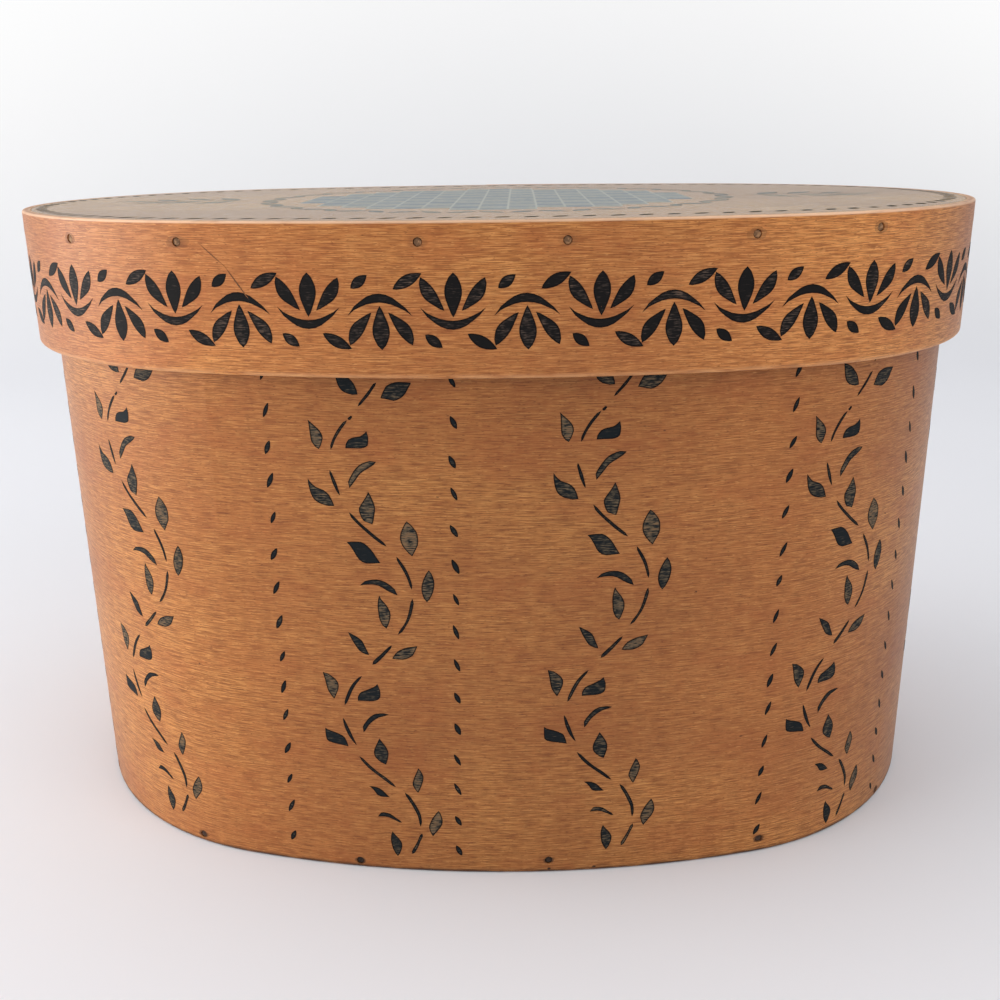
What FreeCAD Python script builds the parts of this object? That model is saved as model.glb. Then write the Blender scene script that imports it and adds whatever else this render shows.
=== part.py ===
import FreeCAD, Part
import math
import os

# Tall oval box of bent wood with a deep lift-off lid. Millimetres, +Z up, the long axis along X,
# the front at -Y, and the origin at the middle of the underside.

# The oval, measured outside the lower band: two wide arcs at front and back, two tight ones at the ends
box_length = 281.4
box_width = 188.0
side_arc_radius = 298.7

# Heights and boards
box_band_height = 177.3
lid_band_height = 38.0
bottom_board_thickness = 6.4
lid_board_thickness = 9.5
board_fit = 0.05

# The bent strips and the overlap that closes each one at the back
band_thickness = 2.4
glue_line = 0.12
lid_clearance = 0.4
lap_flat_length = 12.0
lap_ramp_length = 50.0
feather_tip_thickness = 0.3
band_edge_rounding = 0.6
board_edge_rounding = 0.35

# Swallowtail fingers cut in the outer end of each strip
box_finger_count = 6
box_finger_length = 44.0
box_finger_tip_width = 13.0
lid_finger_length = 40.0
lid_finger_tip_width = 22.0
finger_cheek_share = 0.45
finger_cheek_gap_share = 0.68

# Brads that hold the boards
brad_head_diameter = 2.2
brad_head_thickness = 0.5
brad_head_sink = 0.15
brad_head_recess_clearance = 0.15
brad_shank_diameter = 1.2
brad_length = 13.0
brad_point_length = 2.0

# Copper tacks that close the overlaps, clinched flat on the inside
tack_head_diameter = 4.2
tack_head_thickness = 0.45
tack_shank_diameter = 1.3
tack_clinch_diameter = 2.6
tack_clinch_thickness = 0.4
lid_tack_row_drop = 8.0
lid_tack_row_pitch = 12.0

# How far a cutting body runs past what it cuts
cut_overrun = 2.0

# Places of the brads: the share of the way round, from the middle of the back towards +X,
# and the share of the board's thickness below its top face
lid_brad_shares = [
    (0.0, 0.50), (0.076, 0.46), (0.150, 0.55), (0.224, 0.48), (0.294, 0.55), (0.372, 0.42),
    (0.416, 0.46), (0.476, 0.50), (0.522, 0.51), (0.601, 0.53), (0.647, 0.56), (0.702, 0.58),
    (0.770, 0.47), (0.846, 0.52), (0.920, 0.45),
]
bottom_brad_shares = [
    (0.0, 0.50), (0.078, 0.55), (0.150, 0.44), (0.240, 0.58), (0.326, 0.70), (0.397, 0.32),
    (0.481, 0.36), (0.554, 0.66), (0.622, 0.62), (0.696, 0.48), (0.768, 0.60), (0.845, 0.42),
    (0.925, 0.54),
]

# Places of the tacks along a finger, as shares of its length from root to tip
box_tack_shares = [0.10, 0.50, 0.86]
lid_tack_shares = [0.18, 0.82]

# Sizes worked out from the ones above
half_length = box_length / 2
half_width = box_width / 2
end_arc_radius = (2 * side_arc_radius * half_width - half_length**2 - half_width**2) / (
    2 * (side_arc_radius - half_length)
)
end_centre = half_length - end_arc_radius
side_centre = side_arc_radius - half_width
side_half_angle = math.asin(end_centre / (side_arc_radius - end_arc_radius))
side_half_run = side_arc_radius * side_half_angle
end_run = end_arc_radius * (math.pi - 2 * side_half_angle)
full_run = 4 * side_half_run + 2 * end_run

lap_height = glue_line + band_thickness
lid_gap = lap_height + lid_clearance
lid_face = lid_gap + band_thickness
total_height = box_band_height + lid_board_thickness
lid_foot = total_height - lid_band_height
finger_root_run = -lap_flat_length / 2
ramp_head_run = lap_flat_length / 2
ramp_foot_run = ramp_head_run + lap_ramp_length
feather_tip_share = 1 - math.sqrt((feather_tip_thickness + glue_line) / (2 * lap_height))
feather_tip_run = ramp_head_run + feather_tip_share * lap_ramp_length


def facing(run):
    """Direction that the wall faces, as an angle from +Y towards +X, at a run round the wall."""
    lengths = [side_half_run, end_run, 2 * side_half_run, end_run, side_half_run]
    radii = [side_arc_radius, end_arc_radius, side_arc_radius, end_arc_radius, side_arc_radius]
    turns = math.floor(run / full_run)
    left = run - turns * full_run
    angle = turns * 2 * math.pi
    for length, radius in zip(lengths, radii):
        step = min(left, length)
        angle += step / radius
        left -= step
    return angle


def wall_point(angle, offset, height):
    """Point of the wall that faces an angle, a distance outside the lower band's face."""
    turn = angle % (2 * math.pi)
    quarter = turn % math.pi
    flip = -1 if turn >= math.pi else 1
    if quarter < side_half_angle:
        x, y, radius = 0, -side_centre * flip, side_arc_radius
    elif quarter > math.pi - side_half_angle:
        x, y, radius = 0, side_centre * flip, side_arc_radius
    else:
        x, y, radius = end_centre * flip, 0, end_arc_radius
    reach = radius + offset
    return FreeCAD.Vector(x + reach * math.sin(turn), y + reach * math.cos(turn), height)


def wall_arcs(start, end, offset, height):
    """Arcs along the wall from one run to another, a distance outside the lower band's face."""
    first, last = facing(start), facing(end)
    low, high = min(first, last), max(first, last)
    joints = []
    for turn in range(-1, 3):
        for side in (0, math.pi):
            for sign in (-1, 1):
                joints.append(turn * 2 * math.pi + side + sign * side_half_angle)
    stops = [low] + sorted(j for j in joints if low < j < high) + [high]
    if first > last:
        stops.reverse()
    edges = []
    for here, there in zip(stops, stops[1:]):
        points = [wall_point(a, offset, height) for a in (here, (here + there) / 2, there)]
        edges.append(Part.Arc(*points).toShape())
    return edges


def ramp_point(along, foot_offset, height):
    """Point of a face of the strip at a share of the ramp, which starts one lap high and ends at its foot."""
    drop = 2 * along**2 if along < 1 / 2 else 1 - 2 * (1 - along) ** 2
    run = ramp_head_run + along * lap_ramp_length
    return wall_point(facing(run), foot_offset + (1 - drop) * lap_height, height)


def ramp_arcs(start, end, foot_offset, height):
    """Arcs down or up the ramp between two shares of its length."""
    stops = [start, end] if (start - 1 / 2) * (end - 1 / 2) >= 0 else [start, 1 / 2, end]
    edges = []
    for here, there in zip(stops, stops[1:]):
        points = [ramp_point(along, foot_offset, height) for along in (here, (here + there) / 2, there)]
        edges.append(Part.Arc(*points).toShape())
    return edges


def straight(run_a, offset_a, run_b, offset_b, height):
    """Straight edge between two places on the wall."""
    ends = [wall_point(facing(run_a), offset_a, height), wall_point(facing(run_b), offset_b, height)]
    return Part.makeLine(*ends)


def oval_face(offset, height):
    """Flat oval whose rim lies a distance outside the lower band's face."""
    return Part.Face(Part.Wire(wall_arcs(0, full_run, offset, height)))


def strip_face(face, tip_run, height):
    """Plan of one bent strip: once round the oval, then over its own feathered end."""
    back = face - band_thickness
    under = face + glue_line
    over = face + lap_height
    edges = [straight(tip_run, under, tip_run, over, height)]
    edges += wall_arcs(tip_run, ramp_head_run, over, height)
    edges += ramp_arcs(0, 1, face, height)
    edges += wall_arcs(ramp_foot_run, full_run + ramp_head_run, face, height)
    edges += ramp_arcs(0, feather_tip_share, back - glue_line, height)
    edges.append(straight(feather_tip_run, back + feather_tip_thickness, feather_tip_run, back, height))
    edges += wall_arcs(full_run + feather_tip_run, ramp_foot_run, back, height)
    edges += ramp_arcs(1, 0, back, height)
    edges += wall_arcs(ramp_head_run, tip_run, under, height)
    return Part.Face(Part.Wire(edges))


def outer_rim(solid, face, height):
    """Edges round the outside of a strip at one height, with those of its outer layer on the lap."""
    rim = []
    for edge in solid.Edges:
        if any(abs(vertex.Z - height) > glue_line for vertex in edge.Vertexes):
            continue
        middle = edge.valueAt((edge.FirstParameter + edge.LastParameter) / 2)
        proud = wall_offset(middle) - face
        if abs(proud) < glue_line / 2 or (proud > 3 / 2 * glue_line and edge.Length > lap_height):
            rim.append(edge)
    return rim


def wall_offset(point):
    """How far a point lies outside the lower band's face."""
    if abs(point.x) < end_centre + abs(point.y) * end_centre / side_centre:
        return math.hypot(point.x, abs(point.y) + side_centre) - side_arc_radius
    return math.hypot(abs(point.x) - end_centre, point.y) - end_arc_radius


def finger_notches(face, foot, height, count, length, tip_width):
    """Wood taken from the strip's outer end to leave its fingers, clear of the layer beneath."""
    pitch = height / count
    gap = (pitch - tip_width) / 2
    root = finger_root_run
    tip = root - length
    shell = Part.Face(
        Part.Wire(
            wall_arcs(tip - cut_overrun, root, face + glue_line / 2, foot - cut_overrun)
            + [straight(root, face + glue_line / 2, root, face + lap_height + cut_overrun, foot - cut_overrun)]
            + wall_arcs(root, tip - cut_overrun, face + lap_height + cut_overrun, foot - cut_overrun)
            + [
                straight(
                    tip - cut_overrun,
                    face + lap_height + cut_overrun,
                    tip - cut_overrun,
                    face + glue_line / 2,
                    foot - cut_overrun,
                )
            ]
        )
    ).extrude(FreeCAD.Vector(0, 0, height + 2 * cut_overrun))
    depth = wall_point(facing(tip - cut_overrun), face, foot).y - cut_overrun
    reach = half_width + face + lap_height + 2 * cut_overrun - depth
    notches = []
    for k in range(count + 1):
        middle = foot + k * pitch
        corners = []
        for along, spread in ((0, 0), (finger_cheek_share, finger_cheek_gap_share), (1, 1)):
            x = wall_point(facing(root - along * length), face, 0).x
            corners.append((x, spread * gap))
        end_x = wall_point(facing(tip - cut_overrun), face, 0).x
        upper = [FreeCAD.Vector(x, depth, middle + rise) for x, rise in corners]
        lower = [FreeCAD.Vector(x, depth, middle - rise) for x, rise in corners]
        far_up = FreeCAD.Vector(end_x, depth, middle + gap)
        far_down = FreeCAD.Vector(end_x, depth, middle - gap)
        outline = Part.Wire(
            [
                Part.Arc(*upper).toShape(),
                Part.makeLine(upper[2], far_up),
                Part.makeLine(far_up, far_down),
                Part.makeLine(far_down, lower[2]),
                Part.Arc(*reversed(lower)).toShape(),
            ]
        )
        notches.append(Part.Face(outline).extrude(FreeCAD.Vector(0, reach, 0)))
    return shell.common(notches[0].multiFuse(notches[1:]))


def stand(solid, angle, offset, height):
    """Moves a nail made along Z, head at the origin, to the wall, pointing straight in."""
    solid = solid.copy()
    solid.rotate(FreeCAD.Vector(0, 0, 0), FreeCAD.Vector(1, 0, 0), -90)
    solid.rotate(FreeCAD.Vector(0, 0, 0), FreeCAD.Vector(0, 0, 1), -math.degrees(angle))
    solid.translate(wall_point(angle, offset, height))
    return solid


def turned(outline):
    """Solid turned about Z from an outline of radius and height."""
    points = [FreeCAD.Vector(radius, 0, height) for radius, height in outline]
    wire = Part.makePolygon(points + points[:1])
    return Part.Face(wire).revolve(FreeCAD.Vector(0, 0, 0), FreeCAD.Vector(0, 0, 1), 360)


def brad():
    """Small nail with a flat head and a point, its head's top at the origin."""
    head = brad_head_diameter / 2
    shank = brad_shank_diameter / 2
    outline = [
        (0, 0),
        (head - brad_head_thickness / 2, 0),
        (head, -brad_head_thickness / 2),
        (head, -brad_head_thickness),
        (shank, -brad_head_thickness),
        (shank, -(brad_length - brad_point_length)),
        (0, -brad_length),
    ]
    return turned(outline)


def brad_hole():
    """Room that a brad takes in the wood, with the recess round its sunken head."""
    recess = brad_head_diameter / 2 + brad_head_recess_clearance
    shank = brad_shank_diameter / 2
    outline = [
        (0, brad_head_sink + cut_overrun),
        (recess, brad_head_sink + cut_overrun),
        (recess, -brad_head_thickness),
        (shank, -brad_head_thickness),
        (shank, -(brad_length - brad_point_length)),
        (0, -brad_length),
    ]
    return turned(outline)


def tack():
    """Copper tack through both layers of an overlap, head and clinched end flush with the wood."""
    head = tack_head_diameter / 2
    shank = tack_shank_diameter / 2
    clinch = tack_clinch_diameter / 2
    depth = band_thickness + lap_height
    outline = [
        (0, 0),
        (head, 0),
        (head, -tack_head_thickness / 2),
        (shank, -tack_head_thickness),
        (shank, -(depth - tack_clinch_thickness)),
        (clinch, -(depth - tack_clinch_thickness / 2)),
        (clinch, -depth),
        (0, -depth),
    ]
    return turned(outline)


def board(offset, foot, thickness):
    """Flat oval board with its two rims slightly eased."""
    solid = oval_face(offset, foot).extrude(FreeCAD.Vector(0, 0, thickness))
    rims = [edge for edge in solid.Edges if abs(edge.Vertexes[0].Z - edge.Vertexes[-1].Z) < thickness / 2]
    return solid.makeFillet(min(board_edge_rounding, thickness / 3), rims)


def band(face, foot, height, finger_count, finger_length, finger_tip_width):
    """One bent strip with eased outer edges and its outer end cut into fingers."""
    tip_run = finger_root_run - finger_length
    solid = strip_face(face, tip_run, foot).extrude(FreeCAD.Vector(0, 0, height))
    rims = outer_rim(solid, face, foot) + outer_rim(solid, face, foot + height)
    solid = solid.makeFillet(min(band_edge_rounding, band_thickness / 3), rims)
    cut = finger_notches(face, foot, height, finger_count, finger_length, finger_tip_width)
    return solid.cut(cut)


def brad_places(shares, face, board_top, thickness):
    """Angle, offset and height of each brad's head, on top of the overlap where it stands there."""
    places = []
    for way, drop in shares:
        run = way * full_run
        on_lap = finger_root_run < run < ramp_head_run
        surface = face + lap_height if on_lap else face
        places.append((facing(run), surface - brad_head_sink, board_top - drop * thickness))
    return places


def tack_places(face, heights, shares, length):
    """Angle, offset and height of each tack's head along the fingers."""
    places = []
    for height in heights:
        for along in shares:
            run = finger_root_run - along * length
            places.append((facing(run), face + lap_height, height))
    return places


def row(shape, places):
    """One copy of a nail or of its hole at each place."""
    return [stand(shape, *place) for place in places]


bottom_brads_at = brad_places(bottom_brad_shares, 0, bottom_board_thickness, bottom_board_thickness)
lid_brads_at = brad_places(lid_brad_shares, lid_face, total_height, lid_board_thickness)
finger_pitch = box_band_height / box_finger_count
box_tack_heights = [(k + 1 / 2) * finger_pitch for k in range(box_finger_count)]
box_tacks_at = tack_places(0, box_tack_heights, box_tack_shares, box_finger_length)
lid_tack_heights = [lid_foot + lid_tack_row_drop, lid_foot + lid_tack_row_drop + lid_tack_row_pitch]
lid_tacks_at = tack_places(lid_face, lid_tack_heights, lid_tack_shares, lid_finger_length)

box_band = band(0, 0, box_band_height, box_finger_count, box_finger_length, box_finger_tip_width)
box_band = box_band.cut(row(brad_hole(), bottom_brads_at) + row(tack(), box_tacks_at))
lid_band = band(lid_face, lid_foot, lid_band_height, 1, lid_finger_length, lid_finger_tip_width)
lid_band = lid_band.cut(row(brad_hole(), lid_brads_at) + row(tack(), lid_tacks_at))
box_bottom = board(-band_thickness - board_fit, 0, bottom_board_thickness)
box_bottom = box_bottom.cut(row(brad_hole(), bottom_brads_at))
lid_top = board(lid_face - band_thickness - board_fit, box_band_height, lid_board_thickness)
lid_top = lid_top.cut(row(brad_hole(), lid_brads_at))

parts = {
    "box_band": box_band,
    "box_bottom": box_bottom,
    "lid_band": lid_band,
    "lid_top": lid_top,
    "bottom_brads": Part.makeCompound(row(brad(), bottom_brads_at)),
    "lid_brads": Part.makeCompound(row(brad(), lid_brads_at)),
    "box_lap_tacks": Part.makeCompound(row(tack(), box_tacks_at)),
    "lid_lap_tacks": Part.makeCompound(row(tack(), lid_tacks_at)),
}

os.makedirs("parts", exist_ok=True)
for name, shape in parts.items():
    shape.exportStep(f"parts/{name}.step")
    size = shape.BoundBox
    print(name, shape.isValid(), len(shape.Solids), round(shape.Volume, 1), round(size.ZMin, 3), round(size.ZMax, 3))
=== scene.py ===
import math
import random

import bpy
from mathutils import Matrix, Vector


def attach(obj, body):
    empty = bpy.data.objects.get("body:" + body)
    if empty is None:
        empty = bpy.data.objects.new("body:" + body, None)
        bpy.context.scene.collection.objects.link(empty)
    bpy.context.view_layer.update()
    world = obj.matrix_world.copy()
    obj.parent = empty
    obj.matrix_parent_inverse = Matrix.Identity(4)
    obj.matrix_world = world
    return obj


# Tall oval box of bent wood with a deep lift-off lid, stencilled all round.
# The solids come packed from the CAD model. Sizes below are in millimetres unless they say metres.
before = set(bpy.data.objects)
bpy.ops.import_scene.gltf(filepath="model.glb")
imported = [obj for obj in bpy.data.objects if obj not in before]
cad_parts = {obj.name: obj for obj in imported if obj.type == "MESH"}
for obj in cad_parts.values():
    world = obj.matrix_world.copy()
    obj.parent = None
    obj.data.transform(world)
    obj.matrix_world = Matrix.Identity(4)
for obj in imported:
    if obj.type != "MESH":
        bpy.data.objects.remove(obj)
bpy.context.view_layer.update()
scene = bpy.context.scene
scene.view_settings.view_transform = "Standard"
MM = 0.001


# The camera stands about 27 cm in front of the box and a little above its lid, and looks down on it.
# Its turn, drop and roll are in radians, and its lens is in millimetres.
camera_place = Vector((0.00724, -0.36488, 0.20571))
camera_turn = -0.0206
camera_drop = 0.3213
camera_roll = -0.0128963
camera_lens = 39.4

ahead = Vector((math.sin(camera_turn) * math.cos(camera_drop), math.cos(camera_turn) * math.cos(camera_drop),
                -math.sin(camera_drop)))
level_right = Vector((math.cos(camera_turn), -math.sin(camera_turn), 0))
level_up = level_right.cross(ahead)
right = level_right * math.cos(camera_roll) + level_up * math.sin(camera_roll)
up = level_up * math.cos(camera_roll) - level_right * math.sin(camera_roll)
camera_data = bpy.data.cameras.new("camera")
camera_data.lens = camera_lens
camera_data.sensor_width = 36
camera_data.clip_start = 0.01
camera = bpy.data.objects.new("camera", camera_data)
camera.matrix_world = Matrix((
    (right.x, up.x, -ahead.x, camera_place.x),
    (right.y, up.y, -ahead.y, camera_place.y),
    (right.z, up.z, -ahead.z, camera_place.z),
    (0, 0, 0, 1),
))
scene.collection.objects.link(camera)
scene.camera = camera


# The floor is one pale painted sheet that sweeps up at the back, as in a photographer's studio.
# It keeps the soft shadow of the box, and away from the box it is seen as plain white.
floor_reach = 2.6
sweep_start = 1.5
sweep_height = 1.6
sweep_radius = 0.9
sweep_steps = 24
floor_drop = 0.0001
near_enough = 0.01
floor_colour = (238, 239, 244)
floor_cloud_shade = 3
floor_cloud_scale = 3.0
floor_roughness = 0.75
floor_shine = 0.2
white_from = 0.7
white_by = 1.7


def seen(red, green, blue):
    """A colour as it is seen on a screen, 0 to 255, as the shader wants it."""
    linear = []
    for part in (red, green, blue):
        share = part / 255
        linear.append(share / 12.92 if share <= 0.04045 else ((share + 0.055) / 1.055) ** 2.4)
    return (*linear, 1)


def wire(tree, node, inputs):
    """Each input of a node wired to a socket or set to a value."""
    for socket, value in inputs.items():
        if isinstance(value, bpy.types.NodeSocket):
            tree.links.new(value, node.inputs[socket])
        else:
            node.inputs[socket].default_value = value
    return node


def put(tree, kind, inputs=None, **settings):
    """A shader node with its settings and inputs."""
    node = tree.nodes.new("ShaderNode" + kind)
    for name, value in settings.items():
        setattr(node, name, value)
    return wire(tree, node, inputs or {})


def sum_of(tree, operation, *values, clamp=False):
    """The result of one Math node."""
    return put(tree, "Math", dict(enumerate(values)), operation=operation, use_clamp=clamp).outputs[0]


def new_material(name):
    """An empty node material with its output and its main shader joined."""
    material = bpy.data.materials.new(name)
    material.use_nodes = True
    tree = material.node_tree
    tree.nodes.clear()
    shader = put(tree, "BsdfPrincipled")
    put(tree, "OutputMaterial", {"Surface": shader.outputs[0]})
    return material, tree, shader


def deselect():
    """Nothing selected, in object mode."""
    bpy.ops.object.select_all(action="DESELECT")


def select_edges(piece, wanted):
    """Leaves edit mode with just those edges selected whose two ends pass a test."""
    bpy.ops.mesh.select_all(action="DESELECT")
    bpy.ops.object.mode_set(mode="OBJECT")
    for edge in piece.data.edges:
        edge.select = all(wanted(piece.data.vertices[i].co) for i in edge.vertices)
    bpy.ops.object.mode_set(mode="EDIT")


deselect()
bpy.ops.mesh.primitive_plane_add(size=1)
floor = bpy.context.object
floor.name = "studio_floor"
corners = [(-floor_reach, -floor_reach), (floor_reach, -floor_reach), (-floor_reach, sweep_start),
           (floor_reach, sweep_start)]
for vertex, (x, y) in zip(floor.data.vertices, corners):
    vertex.co = (x, y, -floor_drop)
bpy.ops.object.mode_set(mode="EDIT")
bpy.ops.mesh.select_mode(type="EDGE")
select_edges(floor, lambda end: end.y > sweep_start - near_enough)
bpy.ops.mesh.extrude_region_move(TRANSFORM_OT_translate={"value": (0, 0, sweep_height)})
select_edges(floor, lambda end: abs(end.z) < near_enough and end.y > sweep_start - near_enough)
bpy.ops.mesh.bevel(offset=sweep_radius, offset_type="OFFSET", segments=sweep_steps, affect="EDGES")
bpy.ops.object.mode_set(mode="OBJECT")
bpy.ops.object.shade_smooth()
floor_material, tree, shader = new_material("floor_paint")
place = put(tree, "TexCoord").outputs["Object"]
cloud = put(tree, "TexNoise", {"Vector": place, "Scale": floor_cloud_scale, "Detail": 2.0})
tone = put(tree, "Mix", {"Factor": cloud.outputs["Fac"], "A": seen(*floor_colour),
                         "B": seen(*[part - floor_cloud_shade for part in floor_colour])}, data_type="RGBA")
tree.links.new(tone.outputs["Result"], shader.inputs["Base Color"])
shader.inputs["Roughness"].default_value = floor_roughness
shader.inputs["Specular IOR Level"].default_value = floor_shine
away = put(tree, "VectorMath", {0: place}, operation="LENGTH").outputs["Value"]
far = put(tree, "MapRange", {"Value": away, "From Min": white_from, "From Max": white_by},
          interpolation_type="SMOOTHSTEP").outputs["Result"]
share = sum_of(tree, "MULTIPLY", far, put(tree, "LightPath").outputs["Is Camera Ray"])
surface = shader.outputs[0].links[0].to_socket
glow = put(tree, "Emission", {"Color": (1, 1, 1, 1), "Strength": 1.0})
seen_floor = put(tree, "MixShader", {0: share, 1: shader.outputs[0], 2: glow.outputs[0]})
tree.links.new(seen_floor.outputs[0], surface)
floor.data.materials.append(floor_material)


# Studio light: a white room, brightest overhead and on the left and dim in front where the camera
# stands, with a soft lamp off each end of the box. What looks straight at the room sees plain white.
room_strength = 0.36
room_above = 2.2
room_left = 1.9
room_right = 0.25
room_front = 0.12
key_place = (-1.35, -0.3, 0.36)
key_wide, key_tall = 1.4, 0.66
key_power = 15.0
key_colour = (1.0, 0.985, 0.96)
fill_place = (0.9, -0.95, 0.95)
fill_wide, fill_tall = 1.3, 1.0
fill_power = 6.0
fill_colour = (1.0, 1.0, 1.0)
# Each bright side of the room: its axis, where along it the light starts to rise and where it is full,
# and by how much
room_sides = [(0, -0.1, -0.9, room_left), (0, 0.1, 0.9, room_right), (2, 0.3, 0.9, room_above)]
front_full = -0.8
lamp_aim = Vector((0, 0, 0.1))

world = bpy.data.worlds.new("studio")
scene.world = world
world.use_nodes = True
tree = world.node_tree
tree.nodes.clear()
direction = put(tree, "SeparateXYZ", {0: put(tree, "TexCoord").outputs["Generated"]})
level = 1.0
for axis, near, far, rise in room_sides:
    way = put(tree, "MapRange", {"Value": direction.outputs[axis], "From Min": near, "From Max": far,
                                 "To Max": rise})
    level = sum_of(tree, "ADD", level, way.outputs["Result"])
way = put(tree, "MapRange", {"Value": direction.outputs[1], "From Min": 0.0, "From Max": front_full,
                             "To Min": 1.0, "To Max": room_front})
level = sum_of(tree, "MULTIPLY", level, way.outputs["Result"])
rays = put(tree, "LightPath")
seen_straight = sum_of(tree, "MAXIMUM", rays.outputs["Is Camera Ray"], rays.outputs["Is Transmission Ray"])
strength = put(tree, "Mix", {"Factor": seen_straight, "A": sum_of(tree, "MULTIPLY", level, room_strength),
                             "B": 1.0}).outputs["Result"]
room = put(tree, "Background", {"Color": (1, 1, 1, 1), "Strength": strength})
put(tree, "OutputWorld", {"Surface": room.outputs[0]})


def soft_lamp(name, spot, wide, tall, power, colour):
    """A flat lamp that faces the middle of the box and stands clear of the floor."""
    lamp = bpy.data.lights.new(name, "AREA")
    lamp.shape = "RECTANGLE"
    lamp.size = wide
    lamp.size_y = tall
    lamp.energy = power
    lamp.color = colour
    stand = bpy.data.objects.new(name, lamp)
    stand.location = spot
    stand.rotation_euler = (lamp_aim - Vector(spot)).to_track_quat("-Z", "Y").to_euler()
    scene.collection.objects.link(stand)


soft_lamp("key_lamp", key_place, key_wide, key_tall, key_power, key_colour)
soft_lamp("fill_lamp", fill_place, fill_wide, fill_tall, fill_power, fill_colour)


# The two bands: thin maple strips, steamed, bent round an oval form and closed at the back with
# swallowtail fingers. Stained a warm orange brown outside and rubbed to a satin, paler and dry inside.
side_arc_radius = 298.7
end_arc_radius = 87.098
end_centre = 53.602
side_centre = 204.7
side_half_angle = math.asin(end_centre / (side_arc_radius - end_arc_radius))
lid_face = 5.32
box_band_top = 177.3
lid_foot = 148.8
lid_top_height = 186.8
# How far the strips run on behind the lap, how deep their outer face reaches, and where the bare inside
# starts and is full below that face
lap_reach = 60.0
lap_proud = 0.5
inside_from = -1.2
inside_by = -2.2
# Where in the figure each strip is cut
box_strip_shift = (0.0, 0.0, 0.0)
lid_strip_shift = (410.0, 233.0, 0.0)
# Each wood by its middle, dark, pale and reddish tones
box_stain = ((174, 112, 58), (112, 63, 30), (211, 153, 88), (158, 88, 45))
lid_stain = ((188, 121, 64), (126, 71, 36), (224, 162, 97), (169, 93, 50))
board_stain = ((182, 143, 82), (128, 95, 52), (206, 170, 110), (166, 121, 70))
bare_wood = ((204, 164, 116), (158, 112, 70), (226, 194, 150), (190, 142, 98))


def new_group(name, inputs, outputs):
    """An empty shader node group with named inputs and outputs."""
    group = bpy.data.node_groups.new(name, "ShaderNodeTree")
    for label, kind in inputs:
        group.interface.new_socket(label, in_out="INPUT", socket_type="NodeSocket" + kind)
    for label, kind in outputs:
        group.interface.new_socket(label, in_out="OUTPUT", socket_type="NodeSocket" + kind)
    return group, group.nodes.new("NodeGroupInput"), group.nodes.new("NodeGroupOutput")


def use_group(tree, group, inputs):
    """A node group placed in a material with its own values."""
    node = tree.nodes.new("ShaderNodeGroup")
    node.node_tree = group
    return wire(tree, node, inputs)


def stretched(tree, vector, scale, shift=(0, 0, 0)):
    """Coordinates divided by a grain size in millimetres, so that one unit is one mark of the grain."""
    return put(tree, "Mapping", {"Vector": vector, "Location": shift, "Scale": [1 / part for part in scale]},
               vector_type="POINT").outputs[0]


def noise(tree, vector, detail=2.0, roughness=0.5):
    """Soft noise with marks one unit across."""
    return put(tree, "TexNoise", {"Vector": vector, "Scale": 1.0, "Detail": detail,
                                  "Roughness": roughness}).outputs["Fac"]


def between(tree, value, low, high, bottom=0.0, top=1.0):
    """How far a value is on its way from low to high, clamped and smooth."""
    return put(tree, "MapRange", {"Value": value, "From Min": low, "From Max": high, "To Min": bottom,
                                  "To Max": top}, interpolation_type="SMOOTHSTEP").outputs["Result"]


def blend_colours(tree, share, first, second, kind="MIX"):
    """Two colours mixed by a share."""
    return put(tree, "Mix", {"Factor": share, "A": first, "B": second}, data_type="RGBA", blend_type=kind,
               clamp_factor=True).outputs["Result"]


# Where a point of a band lies on the flat strip before bending: run, rise and depth in millimetres.
strip_place, given, result = new_group("strip_place", [("Face", "Float")], [("Place", "Vector")])


def on_strip(operation, *values):
    """The result of one Math node of the strip's own group."""
    return sum_of(strip_place, operation, *values)


def either(chosen, usual, other):
    """One value of the strip's group, or the other where the point is on the chosen side."""
    return put(strip_place, "Mix", {"Factor": chosen, "A": usual, "B": other}).outputs["Result"]


def length_of(first, second):
    """How long the line is that spans two distances at a right angle."""
    squares = on_strip("ADD", on_strip("MULTIPLY", first, first), on_strip("MULTIPLY", second, second))
    return on_strip("SQRT", squares)


metres = put(strip_place, "TexCoord").outputs["Object"]
spot = put(strip_place, "VectorMath", {0: metres, "Scale": 1 / MM}, operation="SCALE").outputs[0]
axes = put(strip_place, "SeparateXYZ", {0: spot})
x, y, z = axes.outputs[0], axes.outputs[1], axes.outputs[2]
across = on_strip("ABSOLUTE", x)
along = on_strip("ABSOLUTE", y)
from_side = on_strip("ADD", along, side_centre)
from_end = on_strip("SUBTRACT", across, end_centre)
side_angle = on_strip("ARCTAN2", across, from_side)
end_angle = on_strip("ARCTAN2", from_end, along)
on_end = on_strip("GREATER_THAN", side_angle, side_half_angle)
side_radius = on_strip("ADD", given.outputs["Face"], side_arc_radius)
end_radius = on_strip("ADD", given.outputs["Face"], end_arc_radius)
side_half_run = on_strip("MULTIPLY", side_radius, side_half_angle)
side_run = on_strip("MULTIPLY", side_radius, side_angle)
past_side = on_strip("SUBTRACT", end_angle, side_half_angle)
run = either(on_end, side_run, on_strip("MULTIPLY_ADD", past_side, end_radius, side_half_run))
side_depth = on_strip("SUBTRACT", length_of(across, from_side), side_radius)
end_depth = on_strip("SUBTRACT", length_of(along, from_end), end_radius)
depth = either(on_end, side_depth, end_depth)
quarter_run = on_strip("MULTIPLY_ADD", end_radius, math.pi / 2 - side_half_angle, side_half_run)
half_run = on_strip("MULTIPLY", quarter_run, 2.0)
run = either(on_strip("GREATER_THAN", y, 0.0), run, on_strip("SUBTRACT", half_run, run))
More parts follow.
